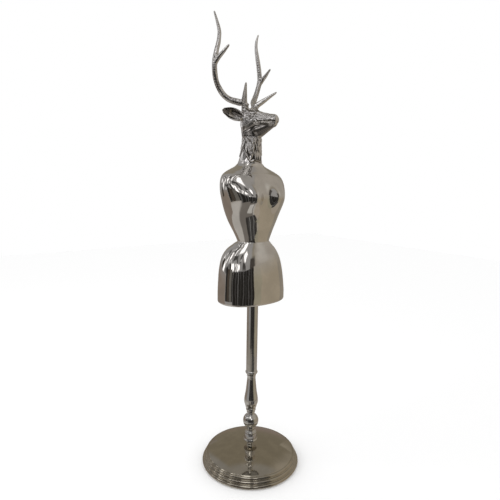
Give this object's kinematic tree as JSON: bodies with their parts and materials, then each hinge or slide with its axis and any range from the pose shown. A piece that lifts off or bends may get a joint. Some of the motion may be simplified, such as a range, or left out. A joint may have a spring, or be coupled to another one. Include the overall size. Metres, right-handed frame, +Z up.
{
  "type": "stag-headed display mannequin",
  "caption": "Armless metal dress-form torso with a stag's neck, head and lift-off antlers, turning and sliding on a turned column over a round stepped base.",
  "frame": {"origin": "centre of the round base, on the floor", "axes": "+Z up along the column; -Y the way the torso faces; +X the torso's own left"},
  "size_m": [0.4, 0.4, 1.7575],
  "materials": {
    "nickel_casting": "mirror-polished nickel plate over cast aluminium, slightly warm and a little wavy",
    "nickel_chased": "polished nickel plate over a casting chased with hair, darker in the recesses",
    "nickel_turned": "mirror-polished nickel plate over turned metal",
    "nickel_tube": "mirror-polished nickel plate over steel tube",
    "base_plate": "mirror-polished nickel plate, slightly smoky",
    "steel_fitting": "plain machined steel",
    "ballast_iron": "rough casting",
    "black_rubber": "matt rubber",
    "nylon": "matt nylon"
  },
  "bodies": {
    "stand": {"base_pad": "black_rubber", "base_shell": "base_plate", "base_ballast": "ballast_iron", "base_washer": "steel_fitting", "base_nut": "steel_fitting", "tie_rod": "steel_fitting", "column_foot": "nickel_turned", "column_ball": "nickel_turned", "ring_collar": "nickel_turned", "baluster": "nickel_turned", "bead_ring": "nickel_turned", "tube_insert": "steel_fitting", "pole_tube": "nickel_tube", "pole_cap": "black_rubber"},
    "collar": {"height_collar": "steel_fitting", "swivel_washer": "nylon"},
    "lock_screw": {"collar_screw": "steel_fitting"},
    "torso": {"socket_tube": "steel_fitting", "hem_plate": "steel_fitting", "plate_lugs": "steel_fitting", "plate_screws": "steel_fitting", "hip_shell": "nickel_casting", "waist_band": "steel_fitting", "bodice_shell": "nickel_casting", "neck_stud": "steel_fitting", "neck_nut": "steel_fitting", "neck_shell": "nickel_chased", "head_boss": "steel_fitting", "head_shell": "nickel_chased", "ear_left": "nickel_chased", "ear_right": "nickel_chased", "bush_left": "steel_fitting", "bush_right": "steel_fitting"},
    "left_antler": {"antler_left": "nickel_chased"},
    "right_antler": {"antler_right": "nickel_chased"}
  },
  "joints": [
    {"name": "height_slide", "type": "slide", "parent": "stand", "child": "collar", "axis": [0, 0, 1], "range_m": [0, 0.1]},
    {"name": "lock_turn", "type": "hinge", "parent": "collar", "child": "lock_screw", "pos_m": [0, 0, 0.704], "axis": [0, -1, 0], "range_deg": [0, 720]},
    {"name": "torso_swivel", "type": "hinge", "parent": "collar", "child": "torso", "pos_m": [0, 0, 0.72], "axis": [0, 0, 1], "continuous": true},
    {"name": "left_antler_lift", "type": "slide", "parent": "torso", "child": "left_antler", "axis": [0, 0, 1], "range_m": [0, 0.03]},
    {"name": "right_antler_lift", "type": "slide", "parent": "torso", "child": "right_antler", "axis": [0, 0, 1], "range_m": [0, 0.03]}
  ]
}
